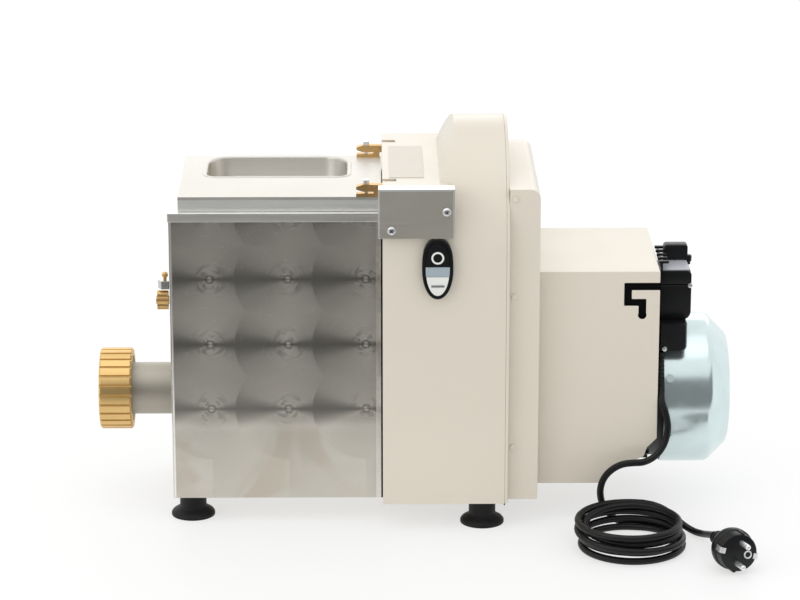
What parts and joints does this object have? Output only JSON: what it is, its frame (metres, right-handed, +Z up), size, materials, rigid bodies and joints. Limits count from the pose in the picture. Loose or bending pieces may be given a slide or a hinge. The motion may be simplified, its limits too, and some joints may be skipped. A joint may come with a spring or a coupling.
{
  "type": "electric pasta maker",
  "caption": "Counter-top pasta extruder: steel mixing hopper with hinged lid, toothed ring nut on a barrel, painted gear casing with push-buttons, fan-cooled motor and coiled mains cord.",
  "frame": {"origin": "on the floor under the centre of the machine's box, without its cord", "axes": "+X from the ring nut to the motor, along the machine's length; -Y towards the side with the push-buttons; +Z up"},
  "size_m": [0.6054, 0.3444, 0.371],
  "materials": {
    "steel_panel": "engine-turned",
    "steel_rim": "brushed",
    "steel_lid": "brushed",
    "cast_aluminium": "satin",
    "barrel_steel": "satin",
    "bronze": "cast, machined",
    "brass": "satin",
    "cream_paint": "semi-gloss enamel",
    "guard_steel": "brushed",
    "zinc": "bright zinc",
    "machined_steel": "machined",
    "label_film": "satin film",
    "motor_black": "satin enamel",
    "black_plastic": "satin",
    "lens": "translucent",
    "button_black": "satin",
    "button_white": "satin",
    "gear_plastic": "machined",
    "galvanised": "bright galvanised",
    "copper": "enamelled winding",
    "rubber": "matt",
    "cord_pvc": "satin PVC",
    "grey_plastic": "matt"
  },
  "bodies": {
    "machine": {"hopper_shell": "steel_panel", "hopper_rim": "steel_rim", "mixing_trough": "cast_aluminium", "extruder_barrel": "barrel_steel", "pasta_die": "bronze", "cutter_bracket": "machined_steel", "front_casing": "cream_paint", "back_plate": "cream_paint", "rear_box": "cream_paint", "motor_cover": "cream_paint", "hinge_cover": "guard_steel", "hinge_cover_screws": "zinc", "hinge_blocks": "cast_aluminium", "lid_sensor": "grey_plastic", "marking_plate": "label_film", "switch_bezel": "black_plastic", "switch_body": "grey_plastic", "pilot_lens": "lens", "front_gear_plate": "cast_aluminium", "middle_gear_plate": "cast_aluminium", "rear_gear_plate": "cast_aluminium", "shaft_bushes": "bronze", "motor_front_shield": "cast_aluminium", "motor_frame": "motor_black", "motor_rear_shield": "motor_black", "motor_bearings": "machined_steel", "stator": "copper", "fan_cowl": "galvanised", "cowl_screws": "zinc", "terminal_box": "black_plastic", "run_capacitor": "grey_plastic", "side_screws": "zinc", "feet": "rubber", "foot_screws": "zinc", "cord_gland": "cord_pvc", "cord_lead": "cord_pvc", "cord_coil": "cord_pvc", "cord_tail": "cord_pvc", "plug_body": "black_plastic", "plug_pins": "zinc"},
    "lid": {"lid": "steel_lid", "lid_tray": "steel_lid", "hinge_arms": "brass", "arm_screws": "zinc", "hinge_shaft": "machined_steel"},
    "auger": {"auger": "machined_steel", "auger_gear": "gear_plastic"},
    "mixer": {"mixer": "machined_steel", "mixer_gear": "gear_plastic"},
    "counter_shaft": {"counter_shaft": "machined_steel", "counter_gear": "gear_plastic"},
    "rotor": {"motor_shaft": "machined_steel", "rotor": "machined_steel", "fan": "black_plastic"},
    "nut_carriage": {"thrust_washer": "machined_steel"},
    "ring_nut": {"ring_nut": "bronze"},
    "stop_button": {"stop_button": "button_black"},
    "start_button": {"start_button": "button_white"},
    "wing_screw": {"wing_screw": "brass"},
    "index_pin": {"index_pin": "brass"}
  },
  "joints": [
    {"name": "lid_hinge", "type": "hinge", "parent": "machine", "child": "lid", "pos_m": [-0.0235, 0.00625, 0.3225], "axis": [0, 1, 0], "range_deg": [0, 100]},
    {"name": "counter_turn", "type": "hinge", "parent": "machine", "child": "counter_shaft", "pos_m": [0.03, 0.05425, 0.1425], "axis": [1, 0, 0], "continuous": true},
    {"name": "auger_turn", "type": "hinge", "parent": "machine", "child": "auger", "pos_m": [0, 0.00625, 0.1065], "axis": [1, 0, 0], "continuous": true},
    {"name": "mixer_turn", "type": "hinge", "parent": "machine", "child": "mixer", "pos_m": [0, 0.00625, 0.2015], "axis": [1, 0, 0], "continuous": true},
    {"name": "motor_turn", "type": "hinge", "parent": "machine", "child": "rotor", "pos_m": [0.15, 0.00625, 0.1065], "axis": [1, 0, 0], "continuous": true},
    {"name": "nut_travel", "type": "slide", "parent": "machine", "child": "nut_carriage", "axis": [-1, 0, 0], "range_m": [0, 0.00601]},
    {"name": "nut_turn", "type": "hinge", "parent": "nut_carriage", "child": "ring_nut", "pos_m": [-0.28, 0.00625, 0.1065], "axis": [-1, 0, 0], "range_deg": [0, 720]},
    {"name": "stop_press", "type": "slide", "parent": "machine", "child": "stop_button", "axis": [0, 1, 0], "range_m": [0, 0.003], "stiffness_N_per_m": 400},
    {"name": "start_press", "type": "slide", "parent": "machine", "child": "start_button", "axis": [0, 1, 0], "range_m": [0, 0.003], "stiffness_N_per_m": 400},
    {"name": "wing_turn", "type": "hinge", "parent": "machine", "child": "wing_screw", "pos_m": [-0.235, 0.00625, 0.194], "axis": [-1, 0, 0], "range_deg": [0, 90]},
    {"name": "pin_lift", "type": "slide", "parent": "machine", "child": "index_pin", "axis": [0, 0, 1], "range_m": [0, 0.004], "stiffness_N_per_m": 300}
  ],
  "couplings": [
    {"joint": "auger_turn", "follows": "counter_turn", "ratio": -0.25},
    {"joint": "mixer_turn", "follows": "counter_turn", "ratio": 0.25532},
    {"joint": "motor_turn", "follows": "counter_turn", "ratio": -4},
    {"joint": "nut_travel", "follows": "nut_turn", "m_per_rad": 0.00047746}
  ]
}
